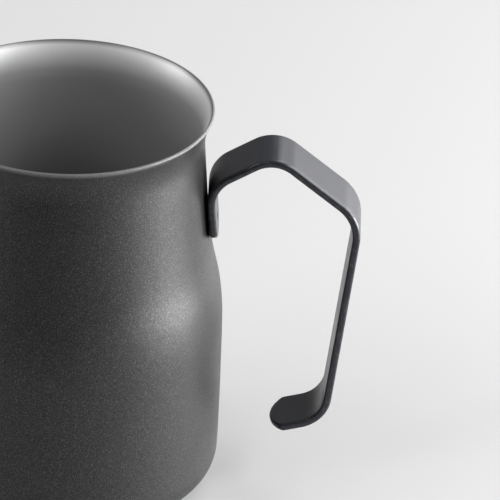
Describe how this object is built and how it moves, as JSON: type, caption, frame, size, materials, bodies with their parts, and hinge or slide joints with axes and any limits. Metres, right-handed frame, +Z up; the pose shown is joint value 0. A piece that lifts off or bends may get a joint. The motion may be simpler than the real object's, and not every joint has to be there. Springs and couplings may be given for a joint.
{
  "type": "milk frothing pitcher",
  "caption": "Coated steel milk frothing jug with a flared rim, a pressed pouring spout and a flat strap handle welded to its neck, open at its lower end.",
  "frame": {"origin": "on the jug's axis, in the plane of the flat base that it stands on", "axes": "+Z up along the jug's axis, +X from the axis to the handle, so the spout is at -X and the XZ plane is the mirror plane"},
  "size_m": [0.1209, 0.082, 0.1057],
  "materials": {
    "coated_steel": "matte, finely speckled dark grey non-stick coating on stainless steel",
    "satin_black_steel": "smooth satin black coating on stainless steel strap",
    "coated_weld": "black coating over weld metal"
  },
  "bodies": {
    "root": {"pitcher_body": "coated_steel", "handle_strap": "satin_black_steel", "weld_plug_lower": "coated_weld", "weld_plug_upper": "coated_weld"}
  },
  "joints": []
}
